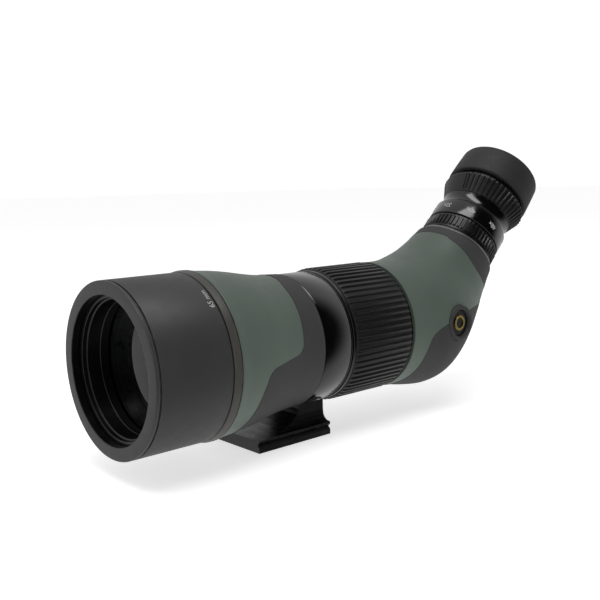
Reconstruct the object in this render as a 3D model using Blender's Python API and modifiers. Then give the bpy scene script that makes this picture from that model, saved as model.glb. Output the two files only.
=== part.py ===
"""Angled spotting scope on a dovetail foot, built as separate pieces in one frame.

Origin: middle of the foot's underside. +X runs to the objective end, +Z is up, +Y is the scope's left.
Lengths below are millimetres. The helpers turn them into metres.
"""
import math

import bpy
from mathutils import Matrix, Vector

MM = 0.001
GAP = 0.3

# Axes
AXIS_Z = 52.8            # height of the optical axis over the foot's underside
BEND_X = -118.5          # where the eyepiece axis crosses the optical axis
BEND_DEG = 45.2          # eyepiece axis above the rearward horizontal

# Facets round a turned piece
FINE, PLAIN, COARSE = 44, 32, 20

# Sunshade and objective
HOOD_FRONT, HOOD_REAR, HOOD_R, HOOD_BORE = 99.0, 56.9, 43.0, 41.2
HOOD_LIP_BACK, HOOD_MOUTH_R = 96.4, 36.1
CELL_FRONT, CELL_REAR, CELL_R, CELL_BORE, CELL_SEAT = 94.2, 40.3, 40.6, 36.3, 61.5
LENS_R, LENS_EDGE = 36.0, 79.2
CLEAR_R = 33.5

# Barrel
BAND_FRONT, BAND_REAR, BAND_R = 56.6, 52.5, 43.8
BARREL_FRONT, BARREL_REAR = 52.2, -6.9
BARREL_PROFILE = [(52.2, 43.6), (51.4, 43.8), (47.0, 43.0), (38.0, 42.2), (29.0, 40.9), (20.0, 39.2),
                  (11.0, 37.7), (2.0, 36.8), (-6.1, 36.3)]
ARMOUR_DEPTH, ARMOUR_PROUD = 1.3, 0.15
CHASSIS_FRONT, CHASSIS_REAR, CHASSIS_R, CHASSIS_BORE = 39.7, -84.0, 32.6, 30.6

# Mounting collar, foot and clamp knob
COLLAR_FRONT, COLLAR_REAR, COLLAR_R, COLLAR_BORE = -7.3, -27.4, 36.2, 33.0
FOOT_FRONT, FOOT_REAR, FOOT_HALF, PLATE_TOP = 25.1, -25.3, 19.2, 7.0
PEDESTAL_HALF, GROOVE_DEPTH = 13.5, 1.4
FOOT_SCREW_X = (-20.6, -12.2)
SOCKET_X, SOCKET_R, SOCKET_BORE = 8.0, 5.6, 3.1
KNOB_X = -17.3

# Focus drive
FLANGE_FRONT, FLANGE_REAR, FLANGE_R = -27.8, -29.6, 36.5
GRIP_FRONT, GRIP_REAR, GRIP_ROOT, GRIP_CREST, GRIP_RIBS = -29.9, -74.0, 36.7, 37.8, 66
FOCUS_REAR, FOCUS_SLEEVE_R, FOCUS_BORE = -75.5, 35.2, 33.0
FOCUS_CELL = (-48.0, -60.0)

# Rear housing: pairs of (X, Z) on its upper and lower outline, with the half width between them
HOUSING_FRONT = -75.9
HOUSING = [((-75.9, 90.2), (-75.9, 15.4), 37.4), ((-84.0, 90.1), (-86.0, 14.6), 37.5),
           ((-91.5, 90.4), (-97.0, 12.7), 38.2), ((-98.0, 91.2), (-109.0, 11.6), 39.6),
           ((-104.0, 92.7), (-121.0, 13.8), 39.4), ((-109.5, 94.4), (-133.0, 20.6), 37.6),
           ((-114.5, 96.3), (-144.0, 30.0), 35.0), ((-119.0, 98.6), (-153.0, 40.0), 32.3),
           ((-123.5, 101.1), (-160.5, 50.5), 30.2), ((-128.0, 103.7), (-166.5, 59.8), 28.7),
           ((-132.0, 106.0), (-170.5, 66.0), 27.6), ((-136.0, 108.5), (-174.0, 70.7), 26.8)]
WALL = 3.6
BADGE_X, BADGE_Z, BADGE_R, BEZEL_R = -114.1, 53.2, 7.5, 10.6

# Eyepiece: distances along its axis from the bend
NECK_RING = (52.1, 55.5)
LOCK_RING = (55.9, 66.2)
SCALE_RING = (66.6, 99.0)
ZOOM_GRIP = (86.8, 99.1)
CUP = (103.0, 124.3)
EYE_BARREL = (32.0, 118.0)
EYE_BORE = 15.7

# Corners of one rib: part of a pitch, and whether the corner is on the crest
FLAT_RIB = ((-0.4, False), (-0.22, True), (0.22, True), (0.4, False))
FINE_RIB = ((-0.25, True), (0.25, False))

MAIN = Matrix.Translation((0, 0, AXIS_Z * MM)) @ Matrix.Rotation(math.radians(90), 4, "Y")
EYE = Matrix.Translation((BEND_X * MM, 0, AXIS_Z * MM)) @ Matrix.Rotation(math.radians(BEND_DEG - 90), 4, "Y")
KNOB = Matrix.Translation((KNOB_X * MM, 0, AXIS_Z * MM)) @ Matrix.Rotation(math.radians(90), 4, "X")


# ---- materials ----

def material(name, colour, roughness, metallic=0.0, transmission=0.0):
    made = bpy.data.materials.new(name)
    made.use_nodes = True
    shader = made.node_tree.nodes["Principled BSDF"]
    shader.inputs["Base Color"].default_value = (*colour, 1.0)
    shader.inputs["Roughness"].default_value = roughness
    shader.inputs["Metallic"].default_value = metallic
    shader.inputs["Transmission Weight"].default_value = transmission
    made.diffuse_color = (*colour, 1.0)
    return made


LOOKS = {
    "green_paint": ((0.055, 0.09, 0.07), 0.45, 0.0),
    "rubber": ((0.02, 0.02, 0.021), 0.75, 0.0),
    "black_satin": ((0.012, 0.012, 0.012), 0.4, 0.2),
    "black_gloss": ((0.008, 0.008, 0.008), 0.15, 0.0),
    "black_matt": ((0.006, 0.006, 0.006), 0.8, 0.0),
    "band": ((0.05, 0.046, 0.042), 0.4, 0.3),
    "pale_metal": ((0.2, 0.2, 0.2), 0.35, 1.0),
    "steel": ((0.45, 0.45, 0.45), 0.3, 1.0),
    "brass": ((0.6, 0.42, 0.16), 0.3, 1.0),
    "gold": ((0.75, 0.5, 0.15), 0.3, 1.0),
}


def finish(obj, look, smooth_deg=32):
    """Gives the object its own material and rounds its shading except at real edges."""
    if look == "glass":
        skin = material(obj.name + "_glass", (0.9, 0.95, 0.92), 0.02, 0.0, 1.0)
    else:
        skin = material(obj.name + "_" + look, *LOOKS[look])
    obj.data.materials.clear()
    obj.data.materials.append(skin)
    obj.data.shade_smooth()
    obj.data.set_sharp_from_angle(angle=math.radians(smooth_deg))
    return obj


# ---- shapes ----

def add(name, mesh, place):
    obj = bpy.data.objects.new(name, mesh)
    COLLECTION.objects.link(obj)
    obj.matrix_world = place
    return obj


def settle(obj):
    """Replaces the object's mesh with the one its modifiers make."""
    bpy.context.view_layer.update()
    graph = bpy.context.evaluated_depsgraph_get()
    made = bpy.data.meshes.new_from_object(obj.evaluated_get(graph))
    obj.modifiers.clear()
    old = obj.data
    obj.data = made
    bpy.data.meshes.remove(old)
    made.name = obj.name
    return obj


def turned(name, profile, place=MAIN, steps=PLAIN, ring=True):
    """Turns a profile of (distance along the axis, radius) round local Z, outer side first and top to bottom."""
    points = [(radius * MM, 0.0, along * MM) for along, radius in profile]
    edges = [(i, i + 1) for i in range(len(points) - 1)]
    if ring:
        edges.append((len(points) - 1, 0))
    mesh = bpy.data.meshes.new(name)
    mesh.from_pydata(points, edges, [])
    obj = add(name, mesh, place)
    screw = obj.modifiers.new("Turn", "SCREW")
    screw.axis = "Z"
    screw.angle = math.tau
    screw.steps = screw.render_steps = steps
    screw.use_merge_vertices = True
    screw.merge_threshold = 0.00001
    screw.use_smooth_shade = True
    return settle(obj)


def tube(name, front, rear, outer, bore, place=MAIN, steps=PLAIN, chamfer=0.0):
    """A plain sleeve, with a small chamfer on its outer edges if one is given."""
    high, low = max(front, rear), min(front, rear)
    if not chamfer:
        return turned(name, [(high, outer), (low, outer), (low, bore), (high, bore)], place, steps)
    profile = [(high, outer - chamfer), (high - chamfer, outer), (low + chamfer, outer), (low, outer - chamfer),
               (low, bore), (high, bore)]
    return turned(name, profile, place, steps)


def rod(name, high, low, radius, place=MAIN, steps=COARSE, chamfer=0.3):
    """A solid cylinder, with chamfered ends if a chamfer is given."""
    if not chamfer:
        return turned(name, [(high, 0.0), (high, radius), (low, radius), (low, 0.0)], place, steps, ring=False)
    profile = [(high, 0.0), (high, radius - chamfer), (high - chamfer, radius), (low + chamfer, radius),
               (low, radius - chamfer), (low, 0.0)]
    return turned(name, profile, place, steps, ring=False)


def face_arc(edge, sag, radius, rings=4):
    """Points of a lens face from its edge to its middle: sag is how far the middle stands past the edge."""
    return [(edge + sag * (1 - (k / rings) ** 2), radius * k / rings) for k in range(rings, -1, -1)]


def lens(name, front, front_sag, rear, rear_sag, radius, place=MAIN, steps=COARSE, rings=2):
    """A glass element. Positive sags bulge outwards at both faces."""
    upper = face_arc(front, front_sag, radius, rings)[::-1]
    lower = face_arc(rear, -rear_sag, radius, rings)
    return finish(turned(name, upper + lower, place, steps, ring=False), "glass", 40)


def lofted(name, sections, place=None):
    """Skins equal-length closed sections and caps both ends."""
    count = len(sections[0])
    points = [tuple(c * MM for c in point) for section in sections for point in section]
    faces = []
    for k in range(len(sections) - 1):
        for i in range(count):
            j = (i + 1) % count
            faces.append((k * count + i, k * count + j, (k + 1) * count + j, (k + 1) * count + i))
    faces.append(tuple(range(count))[::-1])
    faces.append(tuple(range((len(sections) - 1) * count, len(sections) * count)))
    mesh = bpy.data.meshes.new(name)
    mesh.from_pydata(points, [], faces)
    obj = add(name, mesh, place or Matrix.Identity(4))
    face_outwards(obj)
    return obj


def face_outwards(obj):
    """Turns the faces round if they point inwards."""
    mesh = obj.data
    mesh.calc_loop_triangles()
    volume = sum(mesh.vertices[t.vertices[0]].co.dot(
        mesh.vertices[t.vertices[1]].co.cross(mesh.vertices[t.vertices[2]].co)) for t in mesh.loop_triangles)
    if volume < 0:
        mesh.flip_normals()


def slab(name, outline, low, high):
    """Extrudes an outline of (X, Z) along Y."""
    return lofted(name, [[(x, y, z) for x, z in outline] for y in (low, high)])


def boolean(obj, cutter, operation="DIFFERENCE"):
    step = obj.modifiers.new(operation, "BOOLEAN")
    step.operation = operation
    step.solver = "EXACT"
    step.object = cutter
    settle(obj)
    bpy.data.objects.remove(cutter)
    return obj


def drill(obj, high, low, radius, place, operation="DIFFERENCE", steps=COARSE):
    """Cuts or adds a cylinder, turned a little so that its edges miss those of the piece."""
    turned_place = place @ Matrix.Rotation(0.07, 4, "Z")
    return boolean(obj, rod("drill", high, low, radius, turned_place, steps, 0.0), operation)


def ribbed(name, stations, count, bore, place, turns, steps=PLAIN):
    """A ring with straight ribs. stations holds (along, root radius, crest radius), bore holds (along, radius).

    turns holds the corners of one rib as (part of a pitch, whether it is on the crest).
    """
    sections = []
    for along, root, crest in stations:
        section = []
        for k in range(count):
            for turn, on_crest in turns:
                radius = crest if on_crest else root
                angle = math.tau * (k + turn) / count
                section.append((radius * math.cos(angle), radius * math.sin(angle), along))
        sections.append(section)
    obj = lofted(name, sections, place)
    profile = [(bore[0][0] + 2, 0.0)] + [(bore[0][0] + 2, bore[0][1])] + bore + \
              [(bore[-1][0] - 2, bore[-1][1]), (bore[-1][0] - 2, 0.0)]
    return boolean(obj, turned(name + "_bore", profile, place, steps, ring=False))


# ---- objective end ----

def sunshade():
    obj = turned("sunshade", [
        (HOOD_FRONT, HOOD_R - 0.9), (HOOD_FRONT - 0.3, HOOD_R - 0.3), (HOOD_FRONT - 0.9, HOOD_R),
        (HOOD_REAR + 0.3, HOOD_R), (HOOD_REAR, HOOD_R - 0.3), (HOOD_REAR, HOOD_BORE),
        (HOOD_LIP_BACK, HOOD_BORE), (HOOD_LIP_BACK, HOOD_MOUTH_R), (HOOD_FRONT - 0.5, HOOD_MOUTH_R),
        (HOOD_FRONT, HOOD_MOUTH_R + 0.5)], steps=FINE)
    finish(obj, "black_satin")


def objective():
    cell = turned("objective_cell", [
        (CELL_FRONT, CELL_R - 0.4), (CELL_FRONT - 0.4, CELL_R), (CELL_REAR, CELL_R), (CELL_REAR, CLEAR_R),
        (CELL_SEAT, CLEAR_R), (CELL_SEAT, CELL_BORE), (CELL_FRONT, CELL_BORE)])
    finish(cell, "black_matt")
    finish(turned("lens_retainer", [(CELL_FRONT, LENS_R), (LENS_EDGE + GAP, LENS_R),
                                    (LENS_EDGE + 1.1, CLEAR_R - 0.3), (CELL_FRONT, CLEAR_R + 0.3)]), "black_matt")
    lens("front_lens", LENS_EDGE, 3.7, 75.6, 5.2, LENS_R - 0.1, steps=PLAIN, rings=4)
    finish(tube("lens_spacer", 74.6, 73.6, LENS_R, CLEAR_R, steps=COARSE), "black_matt")
    lens("rear_lens", 73.3, -5.6, 64.0, 0.8, LENS_R - 0.1, steps=PLAIN)
    finish(turned("seat_ring", [(63.7, LENS_R - 0.1), (61.8, LENS_R - 0.1), (61.8, CLEAR_R),
                                (63.7, CLEAR_R)]), "black_matt")


# ---- barrel ----

def armour_region(name, grow=0.0):
    """The side outline of the front armour: a collar at the barrel's end that sweeps forward underneath."""
    edge = [(2.0, 100.0), (2.6, 90.0), (5.2, 85.0), (6.2, 78.1), (7.4, 67.2), (8.2, 60.0), (9.4, 55.6), (12.4, 52.9),
            (19.9, 51.4), (26.7, 50.1), (31.0, 49.0), (33.9, 46.2), (35.6, 42.0), (37.2, 36.5), (38.6, 29.5),
            (39.9, 23.5), (40.8, 17.0), (41.0, 0.0)]
    return slab(name, [(-20.0, 0.0), (-20.0, 100.0)] + [(x + grow, z) for x, z in edge], -60.0, 60.0)


def barrel():
    outer = BARREL_PROFILE
    body = turned("front_barrel", outer + [
        (BARREL_REAR, 35.4), (BARREL_REAR, CHASSIS_R + GAP), (38.0, CHASSIS_R + GAP), (40.0, 34.0), (40.0, CELL_R + GAP),
        (BARREL_FRONT, CELL_R + GAP)], steps=FINE)
    skin_profile = [(x, r) for x, r in outer if x < 44.0]
    skin_profile[-1] = (BARREL_REAR, 36.3)
    recess = turned("recess", [(x, r + 3.0) for x, r in skin_profile] + [(-10.0, 39.3)] + [(-10.0, 35.0)] +
                    [(x, r - ARMOUR_DEPTH) for x, r in skin_profile[::-1]], steps=FINE)
    boolean(recess, armour_region("recess_region", GAP), "INTERSECT")
    boolean(body, recess)
    finish(body, "green_paint")
    armour = turned("front_armour", [(x, r + ARMOUR_PROUD) for x, r in skin_profile] +
                    [(x, r - ARMOUR_DEPTH + GAP) for x, r in skin_profile[::-1]], steps=FINE)
    boolean(armour, armour_region("armour_region"), "INTERSECT")
    finish(armour, "rubber")
    finish(turned("band_ring", [(BAND_FRONT, 43.0), (BAND_FRONT - 0.4, 43.3), (BAND_REAR + 0.3, BAND_R),
                                (BAND_REAR, BAND_R - 0.3), (BAND_REAR, CELL_R + GAP), (BAND_FRONT, CELL_R + GAP)],
                  steps=FINE), "band")


def chassis():
    body = tube("chassis_tube", CHASSIS_FRONT, CHASSIS_REAR, CHASSIS_R, CHASSIS_BORE)
    slot = slab("slot", [(-42.0, 78.0), (-66.0, 78.0), (-66.0, 90.0), (-42.0, 90.0)], -2.2, 2.2)
    finish(boolean(body, slot), "black_matt")
    finish(tube("front_baffle", 12.0, 10.4, CHASSIS_BORE - GAP, 27.5, steps=COARSE), "black_matt")
    finish(tube("rear_baffle", -20.0, -21.6, CHASSIS_BORE - GAP, 24.0, steps=COARSE), "black_matt")


# ---- collar, foot and clamp ----

def collar():
    body = turned("collar_ring", [
        (COLLAR_FRONT, COLLAR_R - 0.5), (COLLAR_FRONT - 0.5, COLLAR_R), (COLLAR_REAR + 1.6, COLLAR_R),
        (COLLAR_REAR + 0.7, COLLAR_R - 0.6), (COLLAR_REAR, COLLAR_R - 0.7), (COLLAR_REAR, COLLAR_BORE),
        (COLLAR_FRONT, COLLAR_BORE)], steps=FINE)
    drill(body, 39.0, 34.2, 6.2, KNOB, "UNION")
    drill(body, 45.0, 30.0, 2.8, KNOB)
    for x in FOOT_SCREW_X:
        drill(body, 24.0, 15.0, 2.4, upright(x), steps=12)
    finish(body, "black_gloss")


def upright(x):
    return Matrix.Translation((x * MM, 0, 0))


def foot_section(x, half_at):
    """One cross-section of the foot at X, with a V groove low in each side and a flare up to the pedestal."""
    side = [(FOOT_HALF, 0.0), (FOOT_HALF, 2.7), (FOOT_HALF - GROOVE_DEPTH, 4.2), (FOOT_HALF, 5.7),
            (FOOT_HALF, PLATE_TOP)]
    side += [(FOOT_HALF + (half_at - FOOT_HALF) * (1 - (1 - k / 4) ** 2), PLATE_TOP + 6.0 * k / 4 * k / 4)
             for k in range(1, 5)]
    side.append((half_at, 24.0))
    return [(x, y, z) for y, z in side] + [(x, -y, z) for y, z in side[::-1]]


def foot():
    body = lofted("foot_block", [foot_section(x, PEDESTAL_HALF) for x in (FOOT_REAR, FOOT_FRONT)])
    ramp = [(FOOT_FRONT + 2, 6.4), (FOOT_FRONT + 2, 30.0), (COLLAR_FRONT, 30.0), (COLLAR_FRONT, 16.4),
            (COLLAR_FRONT + 1.0, 13.6), (-3.6, 11.2), (0.5, 9.4), (6.0, 8.0), (13.0, 7.1), (20.0, 6.6)]
    boolean(body, slab("ramp", ramp, -30.0, 30.0))
    drill(body, 30.0, -40.0, COLLAR_R + GAP, MAIN, steps=FINE)
    for x in FOOT_SCREW_X:
        drill(body, 40.0, -5.0, 2.4, upright(x), steps=12)
        drill(body, 5.0, -6.0, 3.8, upright(x), steps=16)
    drill(body, 6.5, -7.0, SOCKET_R + GAP, upright(SOCKET_X))
    finish(body, "black_satin", 25)
    for k, x in enumerate(FOOT_SCREW_X, 1):
        screw = turned(f"foot_screw_{k}", [(18.0, 0.0), (18.0, 1.8), (17.7, 2.1), (4.7, 2.1), (4.7, 3.4),
                                           (1.6, 3.4), (1.3, 3.1), (1.3, 1.5), (3.2, 1.5), (3.2, 0.0)],
                       upright(x), 12, ring=False)
        finish(screw, "steel")
    bush = tube("tripod_socket", 6.2, 0.3, SOCKET_R, SOCKET_BORE, upright(SOCKET_X), COARSE)
    finish(bush, "steel")


def clamp():
    knob = turned("lock_knob", [
        (50.0, 0.0), (50.0, 5.2), (49.2, 6.6), (47.4, 7.2), (43.0, 7.2), (41.0, 6.6), (39.6, 5.0), (39.4, 2.1),
        (35.4, 2.1), (35.4, 0.0)], KNOB, COARSE, ring=False)
    finish(knob, "black_gloss")
    finish(rod("brake_shoe", 34.6, 33.0, 2.4, KNOB, 16, 0.0), "brass")


# ---- focusing ----

def focusing():
    sleeve = turned("focus_sleeve", [
        (FLANGE_FRONT, FLANGE_R - 0.5), (FLANGE_FRONT - 0.5, FLANGE_R), (FLANGE_REAR + 0.3, FLANGE_R),
        (FLANGE_REAR, FLANGE_R - 0.3), (FLANGE_REAR, FOCUS_SLEEVE_R), (FOCUS_REAR, FOCUS_SLEEVE_R),
        (FOCUS_REAR, FOCUS_BORE), (FLANGE_FRONT, FOCUS_BORE)], steps=FINE)
    finish(sleeve, "black_satin")
    grip = ribbed("focus_grip", [(GRIP_REAR, GRIP_ROOT, GRIP_CREST), (GRIP_FRONT, GRIP_ROOT, GRIP_CREST)],
                  GRIP_RIBS, [(GRIP_FRONT, FOCUS_SLEEVE_R + GAP), (GRIP_REAR, FOCUS_SLEEVE_R + GAP)], MAIN,
                  FLAT_RIB, FINE)
    finish(grip, "rubber", 25)
    front, rear = FOCUS_CELL
    cell = turned("focus_cell", [(front, CHASSIS_BORE - 0.4), (rear, CHASSIS_BORE - 0.4), (rear, 24.0),
                                 (front, 24.0)])
    drill(cell, 40.0, 26.0, 1.8, pin_place(), steps=12)
    finish(cell, "black_matt")
    lens("focus_lens", front - 2.5, -1.5, rear + 2.5, -1.5, 23.7)
    finish(rod("focus_pin", 32.5, 26.2, 1.5, pin_place(), 16), "brass")


def pin_place():
    return Matrix.Translation((sum(FOCUS_CELL) / 2 * MM, 0, AXIS_Z * MM))


# ---- rear housing ----

def housing_rings(grow, steps=PLAIN, sections=HOUSING):
    rings = []
    for (ux, uz), (lx, lz), half in sections:
        middle = Vector(((ux + lx) / 2, 0, (uz + lz) / 2))
        up = Vector((ux - lx, 0, uz - lz)) / 2
        up = up * ((up.length + grow) / up.length)
        ring = []
        for k in range(steps):
            angle = math.tau * k / steps
            point = middle + up * math.cos(angle) + Vector((0, (half + grow) * math.sin(angle), 0))
            ring.append(tuple(point))
        rings.append(ring)
    return rings


def moved(section, away):
    """A housing section slid along its own normal."""
    (ux, uz), (lx, lz), half = section
    slope = Vector((ux - lx, uz - lz)).normalized()
    shift = Vector((-slope.y, slope.x)) * away
    return (ux + shift.x, uz + shift.y), (lx + shift.x, lz + shift.y), half


def past_ends(front, rear):
    """The housing sections with each end slid outwards, for cutters and skins."""
    sections = list(HOUSING)
    sections[0] = moved(HOUSING[0], -front)
    sections[-1] = moved(HOUSING[-1], rear)
    return sections


def lower_region(name, grow=0.0):
    """The side outline of the rear housing's lower armour."""
    edge = [(-82.0, 0.0), (-82.4, 16.0), (-84.6, 22.0), (-86.6, 28.0), (-87.4, 35.0), (-88.2, 42.0), (-90.4, 47.4),
            (-95.4, 50.8), (-102.5, 53.6), (-109.0, 57.6), (-118.0, 60.0), (-126.0, 60.6), (-140.0, 60.6),
            (-160.0, 60.8), (-200.0, 61.0)]
    return slab(name, [(-200.0, 0.0)] + [(x + grow, z + grow) for x, z in edge], -60.0, 60.0)


def along_eye(s, t):
    """World (X, Z) of a point s along the eyepiece axis and t across it, towards the front and top."""
    angle = math.radians(BEND_DEG)
    return (BEND_X - s * math.cos(angle) + t * math.sin(angle), AXIS_Z + s * math.sin(angle) + t * math.cos(angle))


def neck_region(name, grow=0.0):
    """The side outline of the armour round the neck."""
    edge = [(46.4, 60.0), (46.1, 28.0), (44.6, 23.7), (42.9, 18.6), (41.2, 14.2), (39.7, 10.2), (38.2, 4.6),
            (37.6, -2.0), (37.6, -7.5), (39.2, -16.0), (41.2, -28.0), (42.4, -60.0)]
    outline = [along_eye(s - grow, t) for s, t in edge]
    return slab(name, outline + [along_eye(70.0, -60.0), along_eye(70.0, 60.0)], -60.0, 60.0)


def housing():
    body = lofted("rear_housing", housing_rings(0.0))
    cavity = lofted("cavity", housing_rings(-WALL, COARSE, past_ends(-6.5, 6.0)))
    boolean(cavity, rod("front_mouth", -70.0, -85.0, CHASSIS_R + GAP, steps=PLAIN), "UNION")
    boolean(body, cavity)
    for region in (lower_region, neck_region):
        recess = lofted("recess", housing_rings(4.0, PLAIN, past_ends(0, 3.0)))
        core = lofted("core", housing_rings(-ARMOUR_DEPTH, PLAIN, past_ends(3.0, 6.0)))
        boolean(recess, core)
        boolean(recess, region("region", GAP), "INTERSECT")
        boolean(body, recess)
    drill(body, 50.0, 37.3, BEZEL_R + GAP, badge_place())
    finish(body, "green_paint")
    for name, region in (("rear_armour", lower_region), ("neck_armour", neck_region)):
        skin = lofted(name, housing_rings(ARMOUR_PROUD, PLAIN))
        core = lofted("core", housing_rings(-ARMOUR_DEPTH + GAP, PLAIN, past_ends(3.0, 3.0)))
        boolean(skin, core)
        boolean(skin, region("region"), "INTERSECT")
        if name == "rear_armour":
            drill(skin, 60.0, 0.0, BEZEL_R + GAP, badge_place())
        finish(skin, "rubber")


def badge_place():
    return Matrix.Translation((BADGE_X * MM, 0, BADGE_Z * MM)) @ Matrix.Rotation(math.radians(-90), 4, "X")


def badge():
    finish(turned("badge_bezel", [(40.5, 9.0), (40.4, 9.9), (39.6, BEZEL_R), (37.6, BEZEL_R), (37.6, 7.9),
                                  (39.6, 7.9)], badge_place(), COARSE), "rubber")
    finish(rod("badge_disc", 38.4, 37.6, BADGE_R, badge_place(), chamfer=0.0), "black_gloss")
    emblem = lofted("badge_emblem", [[(4.6 * math.cos(a), 1.6 * math.sin(a), z) for a in
                                      [math.tau * k / 12 for k in range(12)]] for z in (38.7, 39.1)], badge_place())
    finish(emblem, "gold")


# ---- prism ----

def prism():
    glass = slab("prism", [(-90.0, 36.0), (-90.0, 72.0), (-108.0, 82.0), (-126.2, 83.2), (-148.0, 61.5),
                           (-120.0, 31.0)], -14.5, 14.5)
    finish(glass, "glass", 20)
    finish(slab("prism_plate", [(-93.0, 40.0), (-93.0, 68.0), (-108.0, 77.0), (-124.0, 78.0), (-140.0, 62.0),
                                (-119.0, 36.0)], -17.6, -14.8), "black_matt")
    finish(slab("prism_clip", [(-102.0, 40.0), (-102.0, 74.0), (-116.0, 74.0), (-116.0, 40.0)], 14.8, 15.8), "steel")


# ---- eyepiece ----

def eyepiece_mount():
    low, high = NECK_RING
    finish(turned("neck_ring", [(high, 24.6), (high - 0.5, 25.3), (low + 0.4, 26.7), (low, 26.4), (low, 18.4),
                                (high, 18.4)], EYE), "pale_metal")
    finish(tube("eyepiece_socket", 51.7, 30.5, 21.4, 18.4, EYE, COARSE), "black_matt")
    low, high = LOCK_RING
    ring = ribbed("lock_ring", [(low, 24.0, 24.0), (57.4, 24.4, 25.2), (64.6, 24.4, 25.2), (high, 24.4, 24.4)],
                  56, [(high, 20.1), (low, 20.1)], EYE, FINE_RIB)
    finish(ring, "black_satin", 25)


def eyepiece_optics():
    low, high = EYE_BARREL
    finish(turned("eyepiece_barrel", [(high, 19.4), (high - 0.3, 19.7), (56.2, 19.7), (56.2, 18.0), (low + 0.5, 18.0),
                                      (low, 17.5), (low, EYE_BORE), (high, EYE_BORE)], EYE), "black_matt")
    lens("field_lens", 40.0, 1.6, 37.0, 0.8, EYE_BORE - GAP, EYE)
    lens("eye_lens", 116.0, 1.0, 110.5, 2.0, EYE_BORE - GAP, EYE)
    finish(turned("eye_lens_ring", [(119.6, 19.2), (119.3, 19.6), (118.3, 19.6), (118.3, 13.6), (119.6, 14.4)], EYE),
           "black_satin")
    for k, (low, high) in enumerate(((52.0, 60.0), (78.0, 86.0)), 1):
        finish(tube(f"zoom_cell_{k}", high, low, EYE_BORE - GAP, 12.2, EYE, COARSE), "black_matt")
        lens(f"zoom_lens_{k}", high - 2.0, 0.9, low + 2.0, 0.9, 11.9, EYE)


def zoom_ring():
    low, high = SCALE_RING
    finish(turned("zoom_scale_ring", [
        (high, 25.7), (87.0, 22.2), (86.4, 22.2), (86.4, 23.5), (84.0, 22.9), (81.5, 22.8), (79.6, 23.1), (78.4, 23.8),
        (77.9, 24.6), (77.3, 24.9), (low + 0.4, 24.9), (low, 24.5), (low, 20.4), (high, 20.4)], EYE), "black_gloss")
    low, high = ZOOM_GRIP
    grip = ribbed("zoom_grip", [(low, 23.2, 23.8), (93.0, 25.3, 26.5), (high, 27.4, 28.5)], 50,
                  [(high, 26.0), (low, 22.55)], EYE, FINE_RIB)
    finish(grip, "rubber", 25)


def eyecup():
    finish(tube("click_ring", 104.0, 100.2, 21.6, 20.1, EYE), "brass")
    finish(tube("eyecup_sleeve", 119.4, 99.6, 24.9, 22.0, EYE), "black_satin")
    low, high = CUP
    finish(turned("eyecup", [(high, 25.4), (high - 0.4, 26.4), (high - 1.4, 27.1), (low + 0.8, 28.1), (low, 27.4),
                             (low, 25.2), (119.8, 25.2), (119.8, 20.2), (121.0, 18.4), (high - 0.7, 18.4),
                             (high, 19.4)], EYE), "rubber")


for old in list(bpy.data.objects):
    bpy.data.objects.remove(old)
COLLECTION = bpy.data.collections.new("spotting_scope")
bpy.context.scene.collection.children.link(COLLECTION)

for build in (sunshade, objective, barrel, chassis, collar, foot, clamp, focusing, housing, badge, prism,
              eyepiece_mount, eyepiece_optics, zoom_ring, eyecup):
    build()
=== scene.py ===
"""Spotting scope: finishes, fine detail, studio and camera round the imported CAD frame.

Helpers take millimetres and turn them into metres. The frame is the CAD's: +X to the objective, +Z up,
+Y the scope's left, origin in the middle of the foot's underside.
"""

import math

import bpy
import numpy as np
from mathutils import Matrix, Vector


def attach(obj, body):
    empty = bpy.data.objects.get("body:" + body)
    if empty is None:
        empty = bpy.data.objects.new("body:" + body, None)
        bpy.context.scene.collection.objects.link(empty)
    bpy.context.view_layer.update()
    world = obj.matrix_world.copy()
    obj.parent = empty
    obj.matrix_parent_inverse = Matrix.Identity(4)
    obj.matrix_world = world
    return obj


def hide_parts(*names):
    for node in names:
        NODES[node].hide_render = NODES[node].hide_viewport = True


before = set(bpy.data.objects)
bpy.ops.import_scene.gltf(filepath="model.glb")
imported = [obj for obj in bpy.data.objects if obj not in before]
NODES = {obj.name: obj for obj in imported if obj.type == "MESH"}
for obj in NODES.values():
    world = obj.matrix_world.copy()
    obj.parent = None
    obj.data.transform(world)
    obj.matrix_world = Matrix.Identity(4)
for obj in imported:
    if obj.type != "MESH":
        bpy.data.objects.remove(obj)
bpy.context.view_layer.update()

MM = 0.001
AXIS_Z = 52.8
BEND_X = -118.5
BEND_DEG = 45.2
COLLAR_X = -17.3
BADGE_X, BADGE_Z, BEZEL_R = -114.1, 53.2, 10.9
HOOD_R, LENS_R, ZOOM_R = 43.0, 35.9, 24.85
ARMOUR_UP, ARMOUR_DOWN = 0.22, 0.4
MAIN = Matrix.Translation((0, 0, AXIS_Z * MM)) @ Matrix.Rotation(math.radians(90), 4, "Y")
EYE = Matrix.Translation((BEND_X * MM, 0, AXIS_Z * MM)) @ Matrix.Rotation(math.radians(BEND_DEG - 90), 4, "Y")
KNOB = Matrix.Translation((COLLAR_X * MM, 0, AXIS_Z * MM)) @ Matrix.Rotation(math.radians(90), 4, "X")
BADGE = Matrix.Translation((BADGE_X * MM, 0, BADGE_Z * MM)) @ Matrix.Rotation(math.radians(-90), 4, "X")


# ---- node helpers ----

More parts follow.
